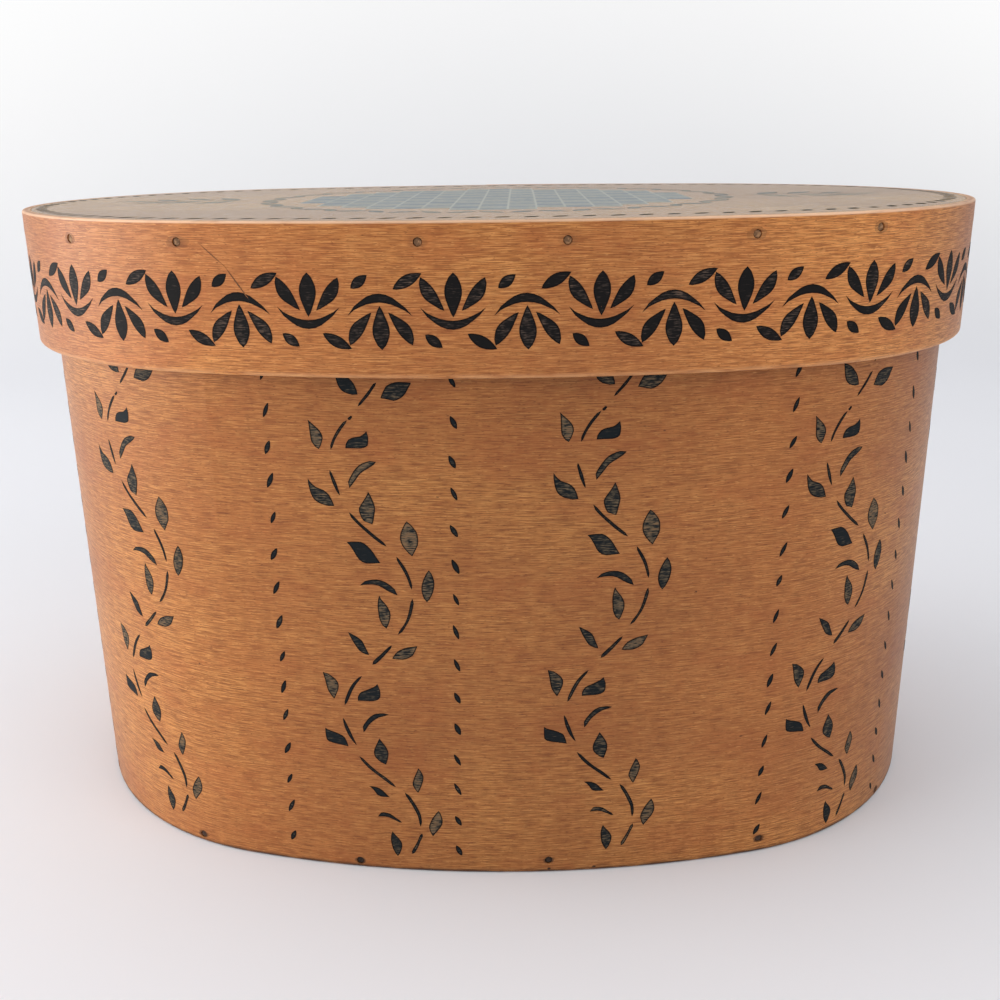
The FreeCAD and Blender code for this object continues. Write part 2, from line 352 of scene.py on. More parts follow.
# The strip's outer end lies over its start, so its grain goes on past the middle of the back.
on_left = on_strip("LESS_THAN", x, 0.0)
near_lap = on_strip("GREATER_THAN", run, on_strip("SUBTRACT", half_run, lap_reach))
outer_layer = on_strip("MULTIPLY", near_lap, on_strip("GREATER_THAN", depth, lap_proud))
outer_end = on_strip("MULTIPLY", on_left, outer_layer)
signed = on_strip("MULTIPLY", run, on_strip("MULTIPLY_ADD", on_left, -2.0, 1.0))
signed = on_strip("MULTIPLY_ADD", outer_end, on_strip("MULTIPLY", half_run, 2.0), signed)
laid_flat = put(strip_place, "CombineXYZ", {0: signed, 1: z, 2: depth}).outputs[0]
strip_place.links.new(laid_flat, result.inputs["Place"])

# Figure of the wood: fine fibre lines along the strip, longer streaks, short dark and pale flecks,
# a faint cross ripple and soft reddish patches where the stain took more.
wood_figure, given, result = new_group(
    "wood_figure",
    [("Place", "Vector"), ("Mid", "Color"), ("Dark", "Color"), ("Pale", "Color"), ("Red", "Color")],
    [("Color", "Color"), ("Fibre", "Float")])
strip = given.outputs["Place"]
# The grain wanders up and down a little: the size of its waves, and how far in millimetres
wander_size = (95, 42, 9)
wander_reach = 2.6
wander = noise(wood_figure, stretched(wood_figure, strip, wander_size), 2.0)
sway = sum_of(wood_figure, "MULTIPLY", sum_of(wood_figure, "SUBTRACT", wander, 0.5), wander_reach)
sway_vector = put(wood_figure, "CombineXYZ", {1: sway}).outputs[0]
grain = put(wood_figure, "VectorMath", {0: strip, 1: sway_vector}, operation="ADD").outputs[0]
# Each kind of mark: where it lies, its length, height and depth, its shift, its detail and its roughness
wood_marks = {
    "fibre": (grain, (5.5, 0.27, 8.0), (0, 0, 0), 2.0, 0.6),
    "streak": (grain, (15.0, 0.7, 8.0), (3.1, 7.7, 0), 2.0, 0.5),
    "fleck": (grain, (1.3, 0.32, 8.0), (9.3, 1.9, 0), 1.0, 0.5),
    "pore": (grain, (8.0, 0.22, 8.0), (51.7, 13.9, 0), 1.0, 0.5),
    "glint": (grain, (2.3, 0.36, 8.0), (27.1, 5.3, 0), 1.0, 0.5),
    "ripple": (strip, (2.2, 6.0, 8.0), (4.7, 14.2, 0), 2.0, 0.5),
    "patch": (strip, (26.0, 13.0, 12.0), (6.4, 2.6, 0), 3.0, 0.55),
    "broad": (strip, (120.0, 75.0, 40.0), (1.2, 8.8, 0), 2.0, 0.5),
}
marks = {}
for name, (lying, size, shift, detail, roughness) in wood_marks.items():
    marks[name] = noise(wood_figure, stretched(wood_figure, lying, size, shift), detail, roughness)
# Which tone each kind of mark brings in, from where to where, and its share at either end
wood_tints = [
    ("fibre", "Dark", 0.50, 0.60, 0.0, 0.64), ("fibre", "Pale", 0.48, 0.38, 0.0, 0.52),
    ("streak", "Dark", 0.50, 0.66, 0.0, 0.26), ("streak", "Pale", 0.50, 0.34, 0.0, 0.22),
    ("patch", "Red", 0.48, 0.68, 0.0, 0.36), ("broad", "Red", 0.42, 0.62, 0.35, 0.0),
    ("pore", "Dark", 0.58, 0.68, 0.0, 0.6), ("fleck", "Dark", 0.63, 0.72, 0.0, 0.7),
    ("glint", "Pale", 0.62, 0.76, 0.0, 0.5),
]
tone = given.outputs["Mid"]
for name, tint, low, high, bottom, top in wood_tints:
    share = between(wood_figure, marks[name], low, high, bottom, top)
    tone = blend_colours(wood_figure, share, tone, given.outputs[tint])
# How light the wood is: a broad swell and a fine ripple, each by its swing and its lowest value
swell = sum_of(wood_figure, "MULTIPLY_ADD", marks["broad"], 0.6, 0.70)
ripple = sum_of(wood_figure, "MULTIPLY_ADD", marks["ripple"], 0.24, 0.88)
level = sum_of(wood_figure, "MULTIPLY", swell, ripple)
level_colour = put(wood_figure, "CombineXYZ", {0: level, 1: level, 2: level}).outputs[0]
tone = blend_colours(wood_figure, 1.0, tone, level_colour, "MULTIPLY")
wood_figure.links.new(tone, result.inputs["Color"])
wood_figure.links.new(marks["fibre"], result.inputs["Fibre"])


def strip_places(tree, face, shift):
    """A point's place on the flat strip of a band, and the same place in the wood that it was cut from."""
    flat = use_group(tree, strip_place, {"Face": face}).outputs["Place"]
    return flat, put(tree, "VectorMath", {0: flat, 1: shift}, operation="ADD").outputs[0]


def wood_of(tree, place, tones):
    """One wood at a place: its colour and how open its fibres are."""
    mid, dark, pale, red = [seen(*tone) for tone in tones]
    return use_group(tree, wood_figure, {"Place": place, "Mid": mid, "Dark": dark, "Pale": pale, "Red": red})


fibre_roughness = 0.22
fibre_relief = 0.25
fibre_height = 0.0001


def satin(tree, shader, colour, fibre, gloss=0.40, shine=0.28):
    """Rubbed satin finish: the sheen breaks a little along the fibres, which stand in faint relief."""
    tree.links.new(colour, shader.inputs["Base Color"])
    rough = sum_of(tree, "MULTIPLY_ADD", fibre, fibre_roughness, gloss - fibre_roughness / 2)
    tree.links.new(rough, shader.inputs["Roughness"])
    bump = put(tree, "Bump", {"Height": fibre, "Strength": fibre_relief, "Distance": fibre_height})
    tree.links.new(bump.outputs[0], shader.inputs["Normal"])
    shader.inputs["Specular IOR Level"].default_value = shine


# Rims: where below the head the wear and painted highlight, and above the foot the painted foot line, start
# and are full, how patchy they are there, how the head's fades inwards, the size of their marks and the
# head's colour
head_wear_and_highlight, head_patches = (-0.7, -0.3), (0.1, 0.5)
foot_light_band, foot_light_patches = (1.5, 0.4), (0.2, 0.6)
inward_wear_and_highlight = (-1.2, -0.3, 0.25, 0.85)
rim_patch_size = (9.0, 2.0, 2.0)
worn_highlit_rim_colour = (232, 190, 156)
# Painted light and shade: the front is painted lighter on its way to the two ends, and darker at the ends
# themselves: the run where each starts and is full, and how much lighter the wood gets
painted_light_runs = [(-15.0, -90.0, 0.26), (-100.0, -150.0, -0.22), (15.0, 85.0, 0.26), (95.0, 150.0, -0.30)]


def band_material(name, face, foot, head, shift, tones, foot_light_tone, foot_light_share):
    """Stained outside, bare inside, rims rubbed pale where hands and boards wear them with a painted
    highlight on the head, a painted foot line (shade on the box, highlight on the lid), and painted light
    and shade along the run.
    """
    material, tree, shader = new_material(name)
    flat, moved = strip_places(tree, face, shift)
    outside = wood_of(tree, moved, tones)
    inside = wood_of(tree, moved, bare_wood)
    parts = put(tree, "SeparateXYZ", {0: flat})
    run, rise, depth = parts.outputs[0], parts.outputs[1], parts.outputs[2]
    inner = between(tree, depth, inside_from, inside_by)
    colour = blend_colours(tree, inner, outside.outputs["Color"], inside.outputs["Color"])
    rim_patchiness = noise(tree, stretched(tree, flat, rim_patch_size), 2.0)
    # Wear together with a painted highlight: the top edge of each band is painted pale in patches.
    rim_wear_and_highlight = sum_of(tree, "MULTIPLY", between(tree, rise, head + head_wear_and_highlight[0], head + head_wear_and_highlight[1]),
                     between(tree, rim_patchiness, *head_patches))
    rim_wear_and_highlight = sum_of(tree, "MULTIPLY", rim_wear_and_highlight, between(tree, depth, *inward_wear_and_highlight))
    colour = blend_colours(tree, rim_wear_and_highlight, colour, seen(*worn_highlit_rim_colour))
    # Painted light and shade along the run: lighter on the way to each end of the front, darker at the ends.
    painted_light = 1.0
    for start, full, gain in painted_light_runs:
        painted_light = sum_of(tree, "ADD", painted_light, between(tree, run, start, full, 0.0, gain))
    colour = put(tree, "VectorMath", {0: colour, "Scale": painted_light}, operation="SCALE").outputs[0]
    # Painted foot line: painted shade along the foot of the box, a painted highlight along the lid's lower
    # edge.
    painted_foot_line = sum_of(tree, "MULTIPLY", between(tree, rise, foot + foot_light_band[0], foot + foot_light_band[1]),
                     between(tree, rim_patchiness, *foot_light_patches))
    colour = blend_colours(tree, sum_of(tree, "MULTIPLY", painted_foot_line, foot_light_share), colour, seen(*foot_light_tone))
    satin(tree, shader, colour, outside.outputs["Fibre"])
    return material


# Each band's foot line, its colour and its share: painted shade at the foot of the box, a painted highlight
# at the lid's foot
box_foot_shade = ((60, 36, 24), 0.9)
lid_foot_highlight = ((226, 172, 122), 0.45)
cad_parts["box_band"].material_slots[0].material = band_material(
    "box_band_maple", 0.0, 0.0, box_band_top, box_strip_shift, box_stain, *box_foot_shade)
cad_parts["lid_band"].material_slots[0].material = band_material(
    "lid_band_maple", lid_face, lid_foot, lid_top_height, lid_strip_shift, lid_stain, *lid_foot_highlight)


# The two boards, planed flat, with their grain along the box: its floor is bare wood, and the lid board
# is stained a duller brown than the bands and polished.
board_shine = 0.43
bottom_board_shift = (0.0, 300.0, 0.0)
bottom_board_gloss = 0.55
lid_board_shift = (90.0, 620.0, 35.0)
lid_board_gloss = 0.24


def board_place(tree, shift):
    """Where a point of a board lies, in millimetres, moved to where in the figure the board is cut."""
    metres = put(tree, "TexCoord").outputs["Object"]
    return put(tree, "Mapping", {"Vector": metres, "Location": shift, "Scale": [1 / MM] * 3}).outputs[0]


def board_material(name, shift, tones, gloss):
    """Straight grain along X, with the board's edge and both faces cut from the same figure."""
    material, tree, shader = new_material(name)
    figure = wood_of(tree, board_place(tree, shift), tones)
    satin(tree, shader, figure.outputs["Color"], figure.outputs["Fibre"], gloss, shine=board_shine)
    return material


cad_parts["box_bottom"].material_slots[0].material = board_material(
    "bottom_board_wood", bottom_board_shift, bare_wood, bottom_board_gloss)
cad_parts["lid_top"].material_slots[0].material = board_material(
    "lid_board_wood", lid_board_shift, board_stain, lid_board_gloss)


# Brads of dark iron wire in the edges of the boards, and copper tacks along the fingers of the laps,
# clinched flat inside.
nail_spot_size = 0.8
nail_spacing = 20.0
# How much nails differ, where their dirt starts and is full, and how much rougher the spots are
nail_difference = 1.2
nail_dirt = (0.38, 0.64)
spot_roughness = 0.25


def nail_material(name, bright, dull, metal, rough):
    """Metal gone uneven with handling, each nail in its own measure."""
    material, tree, shader = new_material(name)
    place = board_place(tree, (0.0, 0.0, 0.0))
    spots = noise(tree, stretched(tree, place, [nail_spot_size] * 3), 3.0)
    each = noise(tree, stretched(tree, place, [nail_spacing] * 3), 1.0)
    own = sum_of(tree, "MULTIPLY_ADD", each, nail_difference, -nail_difference / 2)
    dirt = sum_of(tree, "ADD", spots, own)
    tone = blend_colours(tree, between(tree, dirt, *nail_dirt), seen(*bright), seen(*dull))
    tree.links.new(tone, shader.inputs["Base Color"])
    roughness = between(tree, spots, 0.3, 0.7, rough, rough + spot_roughness)
    tree.links.new(roughness, shader.inputs["Roughness"])
    shader.inputs["Metallic"].default_value = metal
    return material


lid_iron = nail_material("lid_brad_iron", (176, 130, 88), (112, 80, 54), 0.0, 0.7)
foot_iron = nail_material("foot_brad_iron", (70, 46, 32), (40, 27, 20), 0.0, 0.7)
copper = nail_material("tack_copper_aged", (196, 122, 86), (112, 66, 46), 0.9, 0.32)
nail_metals = [("lid_brads", lid_iron), ("bottom_brads", foot_iron), ("box_lap_tacks", copper),
               ("lid_lap_tacks", copper)]
for name, metal in nail_metals:
    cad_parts[name].material_slots[0].material = metal


# Stencilled vines and dashes: black milk paint dabbed through a cut stencil on to the lower band.
# Where the brush was dry, the grain shows through.
paint_black = (22, 28, 32)
paint_film = (104, 94, 76)
paint_ridge = (14, 9, 8)
paint_shine = 0.12
paint_thickness = 0.05
paint_proud = 0.03
weld_reach = 0.002
crease_angle = math.radians(40)
vine_top = 148.87
vine_pitch = 72.7
# Each mark is a slit from tip to tip: start run and rise, end run and rise, how far its left side and
# its right side stand off that line a tenth, three, five, seven and nine tenths of the way along, and
# how much paint it took. The plate has two sprays, one above the other.
vine_marks = [
    (-3.2, 2.7, 2.5, -3.7, (0.6, 1.3, 1.4, 1.3, 0.6), (-0.6, -1.7, -2.4, -2.2, -1.1), 0.9),
    (8.4, -4.5, 16.6, -0.5, (0.8, 2.0, 2.1, 1.6, 0.6), (-0.7, -2.1, -2.3, -1.8, -0.6), 0.85),
    (7.6, -0.5, 2.3, -6.8, (0.3, 0.4, 0.5, 0.4, 0.3), (-0.4, -0.3, -0.3, -0.3, -0.3), 0.9),
    (0.5, -9.4, -0.6, -10.3, (0.3, 0.3, 0.4, 0.4, 0.3), (-0.3, -0.3, -0.3, -0.3, -0.3), 0.9),
    (-0.9, -10.5, -6.0, -18.5, (0.1, -0.1, -0.2, -0.2, 0.1), (-0.6, -0.9, -1.0, -0.9, -0.6), 0.9),
    (-11.5, -10.6, -9.2, -18.5, (0.5, 1.5, 2.2, 2.1, 0.9), (-0.1, -0.5, -0.9, -1.2, -0.7), 0.62),
    (-2.0, -18.0, 4.0, -13.3, (0.7, 1.2, 0.8, 0.0, -0.1), (-0.6, -1.8, -2.8, -3.0, -1.5), 1.0),
    (5.9, -21.5, -1.9, -28.9, (0.1, -0.3, -0.7, -0.4, -0.1), (-1.3, -2.3, -2.5, -2.1, -1.4), 0.72),
    (-6.8, -24.1, -4.7, -31.0, (0.2, 0.3, 0.4, 0.3, 0.2), (-0.4, -0.5, -0.6, -0.5, -0.3), 0.95),
    (-13.1, -26.7, -6.5, -34.0, (-0.1, 0.0, 1.0, 1.2, 0.5), (-0.9, -2.2, -2.9, -2.5, -1.2), 0.85),
    (3.1, -29.7, 3.5, -38.8, (0.4, 1.0, 1.3, 0.9, 0.4), (-0.5, -1.8, -3.1, -3.0, -2.2), 0.78),
    (-2.6, -35.6, 6.9, -45.0, (0.1, -0.1, 0.0, 0.1, 0.3), (-0.7, -0.9, -0.9, -0.8, -0.5), 0.95),
    (-4.0, -44.1, 4.8, -49.8, (0.9, 2.3, 2.3, 1.6, 0.5), (-0.3, -1.4, -2.5, -2.3, -0.8), 0.97),
    (12.7, -37.7, 13.6, -47.6, (1.0, 2.2, 2.4, 2.0, 0.7), (-0.8, -2.0, -2.5, -2.1, -0.9), 0.5),
    (9.3, -47.8, 12.8, -57.2, (0.4, 0.8, 1.0, 0.9, 0.6), (-0.3, -0.1, 0.1, 0.1, -0.1), 0.9),
    (-1.4, -56.5, 8.8, -59.0, (1.6, 2.7, 3.1, 2.7, 1.5), (0.5, 1.2, 1.3, 0.6, 0.1), 0.85),
    (17.8, -51.5, 16.7, -60.8, (0.8, 1.6, 1.7, 1.4, 0.7), (-0.6, -1.3, -1.7, -1.6, -0.9), 0.75),
    (3.7, -59.3, 5.0, -69.0, (0.3, 1.4, 2.0, 1.7, 0.7), (-0.5, -1.1, -1.3, -1.4, -0.9), 0.72),
    (12.8, -59.9, 8.0, -70.7, (0.8, 1.2, 1.4, 1.2, 0.8), (-0.1, 0.3, 0.6, 0.5, 0.0), 0.88),
    (-6.0, -70.6, -0.6, -77.3, (0.4, 1.1, 1.4, 0.9, 0.4), (-0.3, -0.8, -1.1, -1.3, -0.7), 0.85),
    (5.9, -78.1, 13.2, -74.0, (0.6, 1.2, 1.2, 0.9, 0.3), (-0.6, -1.6, -1.9, -1.7, -0.6), 0.62),
    (6.1, -74.0, 0.1, -80.2, (0.4, 0.5, 0.6, 0.6, 0.5), (-0.3, -0.4, -0.4, -0.5, -0.5), 0.92),
    (-3.2, -83.8, -9.0, -93.4, (0.1, -0.2, -0.2, 0.0, 0.2), (-0.6, -1.1, -1.2, -1.0, -0.6), 0.95),
    (-14.5, -83.4, -11.9, -91.6, (1.4, 2.6, 3.1, 2.4, 0.9), (-0.1, -0.3, -0.6, -0.7, -0.3), 0.68),
    (-5.0, -91.7, 1.0, -86.1, (0.8, 1.3, 0.8, 0.3, -0.1), (-0.7, -2.2, -3.3, -3.4, -1.8), 0.95),
    (3.6, -95.6, -4.2, -101.7, (-0.3, -1.0, -1.1, -0.9, -0.2), (-1.2, -2.4, -2.6, -2.2, -1.5), 0.92),
    (-9.9, -97.5, -6.6, -106.0, (0.2, 0.2, 0.2, 0.1, 0.1), (-0.4, -0.8, -0.9, -0.8, -0.4), 0.95),
    (-15.5, -101.1, -9.1, -106.6, (0.1, 0.8, 1.4, 1.6, 0.7), (-1.1, -2.8, -2.5, -1.5, -0.5), 0.95),
    (0.2, -103.4, 1.5, -111.8, (0.4, 1.2, 1.6, 1.3, 0.5), (-0.6, -1.8, -2.6, -2.5, -1.2), 0.88),
    (-6.2, -109.5, 3.9, -119.1, (0.2, 0.0, 0.0, 0.3, 0.3), (-0.6, -1.0, -0.9, -0.7, -0.5), 0.95),
    (-4.0, -119.3, 1.7, -122.5, (0.4, 0.9, 1.0, 0.7, 0.2), (-0.1, -0.6, -1.3, -1.1, -0.4), 1.0),
    (10.8, -112.5, 10.2, -120.6, (0.7, 1.5, 1.4, 1.0, 0.4), (-0.3, -0.9, -1.4, -1.6, -0.7), 0.6),
    (6.3, -120.7, 10.2, -132.0, (0.8, 1.3, 1.6, 1.6, 0.9), (-0.1, 0.3, 0.5, 0.6, 0.1), 0.9),
    (-2.3, -129.3, 4.7, -130.9, (1.6, 2.0, 1.9, 1.2, 0.6), (0.2, 0.6, 0.6, 0.3, -0.1), 0.9),
    (15.8, -126.4, 13.6, -135.1, (0.8, 1.7, 1.8, 1.2, 0.4), (-0.5, -1.2, -1.6, -1.7, -0.8), 0.6),
    (1.7, -134.1, 2.7, -142.5, (0.4, 1.5, 2.1, 1.7, 0.8), (-0.5, -1.0, -1.1, -1.0, -0.5), 0.9),
    (10.5, -134.3, 7.1, -141.5, (0.5, 0.5, 0.6, 0.6, 0.5), (-0.4, -0.3, -0.3, -0.4, -0.5), 0.7),
]
# Run of each vine from the middle of the front towards +X, how far lower than the first it stands,
# and its lean.
vine_places = [
    (-306.0, 1.0, 0.0), (-248.0, 2.4, 0.01), (-178.0, 0.3, 0.0), (-108.5, -0.5, 0.0), (-37.1, 1.7, 0.032),
    (28.7, -0.5, 0.0), (98.1, 4.0, 0.024), (169.0, 1.2, 0.01), (239.0, 2.2, 0.0), (303.0, 0.6, 0.0),
]
# Each row of dashes: its run at the top and at the foot, which way its dashes lean, and the middles of
# its dashes from the foot up. Two more follow under the lid.
even_rises = [7.5 + 9.98 * step for step in range(15)]
dash_places = [
    (-204.0, -203.0, 1, even_rises), (-153.5, -152.0, -1, even_rises),
    (-59.7, -61.7, 1,
     [8.5, 18.8, 28.0, 38.2, 49.1, 58.0, 67.6, 78.2, 88.5, 98.4, 109.0, 119.5, 128.6, 138.7, 148.6]),
    (-10.1, -11.7, -1,
     [7.5, 17.6, 28.2, 37.8, 47.7, 57.5, 67.6, 77.6, 87.2, 96.8, 106.9, 117.2, 125.9, 136.4, 147.1]),
    (80.9, 77.4, 1,
     [7.8, 18.6, 27.8, 37.7, 48.4, 57.3, 67.0, 77.3, 88.0, 97.2, 108.1, 118.3, 127.6, 137.8, 147.2]),
    (128.4, 128.0, -1,
     [5.6, 15.6, 25.6, 35.5, 45.6, 55.6, 65.5, 75.7, 85.4, 95.4, 105.4, 115.8, 124.8, 135.0, 145.6]),
    (216.0, 215.0, 1, even_rises), (265.5, 265.0, -1, even_rises),
]
dash_pitch = 10.0
dash_length = 3.9
dash_lean = 1.8
dash_width = 1.25
dash_form = (0.5, 0.95, 1.1, 0.9, 0.45)
dash_stray = (-0.25, 0.25)
dash_lengths = (0.82, 1.12)
dash_widths = (0.8, 1.15)
dash_loads = (0.95, 1.1)


def wall_turn(run, face):
    """Angle from the front that the wall faces at a run round it, on a face outside the lower band's."""
    turn, left = 0.0, abs(run)
    end_angle = math.pi - 2 * side_half_angle
    for angle, radius in ((side_half_angle, side_arc_radius), (end_angle, end_arc_radius),
                          (side_half_angle, side_arc_radius)):
        step = min(left, angle * (radius + face))
        turn += step / (radius + face)
        left -= step
    return math.copysign(turn, run)


def wall_spot(turn, rise, reach):
    """Point in metres of the wall that faces an angle, a distance outside the lower band's face."""
    angle = abs(turn)
    if angle < side_half_angle:
        middle, radius = (0.0, side_centre), side_arc_radius
    elif angle > math.pi - side_half_angle:
        middle, radius = (0.0, -side_centre), side_arc_radius
    else:
        middle, radius = (end_centre, 0.0), end_arc_radius
    x = middle[0] + (radius + reach) * math.sin(angle)
    y = middle[1] - (radius + reach) * math.cos(angle)
    return Vector((math.copysign(x, turn), y, rise)) * MM


def on_wall(face):
    """Lays flat marks on a wall: run and rise become a point just proud of its face."""
    return lambda run, rise, lift=0.0: wall_spot(wall_turn(run, face), rise, face + paint_proud + lift)


def side_line(bulges, share):
    """How far a slit's side stands off its chord, on a smooth line through its five bulges."""
    stations = (0.0, 0.1, 0.3, 0.5, 0.7, 0.9, 1.0)
    values = (0.0, *bulges, 0.0)
    left = max(k for k in range(6) if stations[k] < share + 0.001)
    way = (share - stations[left]) / (stations[left + 1] - stations[left])
    before, first = values[max(left - 1, 0)], values[left]
    second, after = values[left + 1], values[min(left + 2, 6)]
    bend = 2 * before - 5 * first + 4 * second - after
    swing = 3 * first - before - 3 * second + after
    return first + 0.5 * ((second - before) * way + bend * way**2 + swing * way**3)


chance = random.Random(7)
slit_steps = 10
slit_points = 3 * (slit_steps + 1)
short_steps = 6
dab_spread = (-0.1, 0.12)


def slit(start_run, start_rise, end_run, end_rise, lefts, rights, load, steps=slit_steps):
    """One slit of a stencil plate, flat, that knows its load of paint and how far in from its rim it is."""
    deselect()
    bpy.ops.mesh.primitive_grid_add(x_subdivisions=steps, y_subdivisions=2, size=1)
    mark = bpy.context.object
    start = Vector((start_run, start_rise))
    way = Vector((end_run, end_rise)) - start
    side = Vector((-way.y, way.x)).normalized()
    inset = mark.data.attributes.new("inset", "FLOAT", "POINT")
    paint = mark.data.attributes.new("load", "FLOAT", "POINT")
    for vertex in mark.data.vertices:
        share = min(max(vertex.co.x + 0.5, 0.0), 1.0)
        lane = vertex.co.y + 0.5
        left, right = side_line(lefts, share), side_line(rights, share)
        flat = start + way * share + side * (right + (left - right) * lane)
        inset.data[vertex.index].value = (left - right) * min(lane, 1 - lane)
        paint.data[vertex.index].value = load
        vertex.co = (flat.x, 0, flat.y)
    return mark


def even_slit(start_run, start_rise, end_run, end_rise, half, form, load, steps=short_steps):
    """A slit of one form on both sides of its line."""
    return slit(start_run, start_rise, end_run, end_rise, [half * part for part in form],
                [-half * part for part in form], load, steps)


def pick(pieces):
    """Just these pieces selected, the first of them active."""
    deselect()
    for piece in pieces:
        piece.select_set(True)
    bpy.context.view_layer.objects.active = pieces[0]


def join_all(pieces, name):
    """Several objects made one."""
    pick(pieces)
    bpy.ops.object.join()
    pieces[0].name = name
    pieces[0].data.name = name
    return pieces[0]


def stencil_through(plate, name, spots, lay):
    """Paints one plate at each of its places, joins the prints into one and drops the plate."""
    prints = []
    for run, rise, lean in spots:
        copy = plate.copy()
        copy.data = plate.data.copy()
        scene.collection.objects.link(copy)
        paint = copy.data.attributes["load"].data
        dabs = [chance.uniform(*dab_spread) for _ in range(len(paint) // slit_points + 1)]
        for vertex in copy.data.vertices:
            drop = vertex.co.z
            vertex.co = lay(run + vertex.co.x - lean * drop, rise + drop)
            paint[vertex.index].value += dabs[vertex.index // slit_points]
        prints.append(copy)
    bpy.data.objects.remove(plate)
    return join_all(prints, name)


def dry_paint(piece, material, body):
    """Merges the tips, thickens the skin into the wood and hands the paint to its body."""
    pick([piece])
    bpy.ops.object.mode_set(mode="EDIT")
    bpy.ops.mesh.select_all(action="SELECT")
    bpy.ops.mesh.remove_doubles(threshold=weld_reach * MM)
    bpy.ops.object.mode_set(mode="OBJECT")
    solid = piece.modifiers.new("thickness", "SOLIDIFY")
    solid.thickness = paint_thickness * MM
    solid.offset = -1
    bpy.ops.object.modifier_apply(modifier=solid.name)
    bpy.ops.object.shade_smooth_by_angle(angle=crease_angle)
    piece.data.materials.clear()
    piece.data.materials.append(material)
    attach(piece, body)


# Milk paint over wood: a dark ridge at the rim of each mark, and a grey film with the grain showing
# where the brush was dry.
milk_paint, given, result = new_group(
    "milk_paint",
    [("Place", "Vector"), ("Wood", "Color"), ("Paint", "Color"), ("Film", "Color"), ("Ridge", "Color"),
     ("Load", "Float"), ("Inset", "Float")],
    [("Color", "Color")])
# Marks of the bristles and of the dabbing: size, shift and roughness, and how much they change the load
paint_strokes = [((2.6, 0.3, 8.0), (2.0, 3.0, 0), 0.6, 3.4), ((1.9, 1.9, 8.0), (5.0, 1.0, 0), 0.5, 1.3)]
# The cover over which the film comes in, with its share at either end, the cover over which the paint
# does, and the ridge in the same way by its distance from the rim
film_cover = (0.1, 0.7, 0.7, 0.96)
paint_cover = (0.36, 0.98)
ridge_reach = (0.55, 0.15, 0.0, 0.92)
fullest_load = 1.5
load = given.outputs["Load"]
unevenness = 0.0
for size, shift, roughness, gain in paint_strokes:
    field = noise(milk_paint, stretched(milk_paint, given.outputs["Place"], size, shift), 2.0, roughness)
    swing = sum_of(milk_paint, "SUBTRACT", field, 0.5)
    unevenness = sum_of(milk_paint, "MULTIPLY_ADD", swing, gain, unevenness)
# The less paint, the more uneven it lies.
dryness = sum_of(milk_paint, "SUBTRACT", fullest_load, load)
cover = sum_of(milk_paint, "MULTIPLY_ADD", unevenness, dryness, load)
film_share = between(milk_paint, cover, *film_cover)
film = blend_colours(milk_paint, film_share, given.outputs["Wood"], given.outputs["Film"])
tone = blend_colours(milk_paint, between(milk_paint, cover, *paint_cover), film, given.outputs["Paint"])
ridge = between(milk_paint, given.outputs["Inset"], *ridge_reach)
tone = blend_colours(milk_paint, ridge, tone, given.outputs["Ridge"])
milk_paint.links.new(tone, result.inputs["Color"])


def load_and_inset(tree):
    """How much paint a mark took, and how far in from its rim a point is."""
    return [put(tree, "Attribute", attribute_name=name).outputs["Fac"] for name in ("load", "inset")]


def paint_material(name, paint, film, ridge, place_in, tones, gloss=0.6):
    """Milk paint of one colour over the wood that it was dabbed on."""
    material, tree, shader = new_material(name)
    place = place_in(tree)
    wood = wood_of(tree, place, tones)
    load, inset = load_and_inset(tree)
    tone = use_group(tree, milk_paint, {
        "Place": place, "Wood": wood.outputs["Color"], "Paint": seen(*paint), "Film": seen(*film),
        "Ridge": seen(*ridge), "Load": load, "Inset": inset})
    satin(tree, shader, tone.outputs["Color"], wood.outputs["Fibre"], gloss, shine=paint_shine)
    return material


def box_strip_in(tree):
    """Reads a place in the wood of the lower band."""
    return strip_places(tree, 0.0, box_strip_shift)[1]


def lid_strip_in(tree):
    """Reads a place in the wood of the lid band."""
    return strip_places(tree, lid_face, lid_strip_shift)[1]


def lid_board_in(tree):
    """Reads a place in the wood of the lid board."""
    return board_place(tree, lid_board_shift)


box_paint = paint_material("box_stencil_paint", paint_black, paint_film, paint_ridge, box_strip_in,
                           box_stain)
box_wall = on_wall(0.0)
# The lid hides the foot of one more spray, which the plate left higher up: it has the marks that start
# and end between these two.
spray_head = -46.0
spray_foot = -70.8
vine_slits = []
for start_run, start_rise, end_run, end_rise, *cut in vine_marks:
    vine_slits.append(slit(start_run, start_rise, end_run, end_rise, *cut))
    if end_rise > spray_foot and start_rise < spray_head:
        vine_slits.append(slit(start_run, start_rise + vine_pitch, end_run, end_rise + vine_pitch, *cut))
vine_plate = join_all(vine_slits, "vine_plate")
vines = stencil_through(vine_plate, "stencil_vines",
                        [(run, vine_top - lower, lean) for run, lower, lean in vine_places], box_wall)
dry_paint(vines, box_paint, "box")

dash_prints = []
for top_run, foot_run, lean, rises in dash_places:
    for rise in (*rises, rises[-1] + dash_pitch, rises[-1] + 2 * dash_pitch):
        share = rise / vine_top
        run = foot_run + (top_run - foot_run) * share + chance.uniform(*dash_stray)
        half = dash_length / 2 * chance.uniform(*dash_lengths)
        tilt = lean * dash_lean / 2 * chance.uniform(*dash_widths)
        wide = dash_width / 2 * chance.uniform(*dash_widths)
        dash_prints.append(even_slit(run - tilt, rise - half, run + tilt, rise + half, wide, dash_form,
                                     chance.uniform(*dash_loads), slit_steps))
dashes = join_all(dash_prints, "stencil_dashes")
for vertex in dashes.data.vertices:
    vertex.co = box_wall(vertex.co.x, vertex.co.z)
dry_paint(dashes, box_paint, "box")


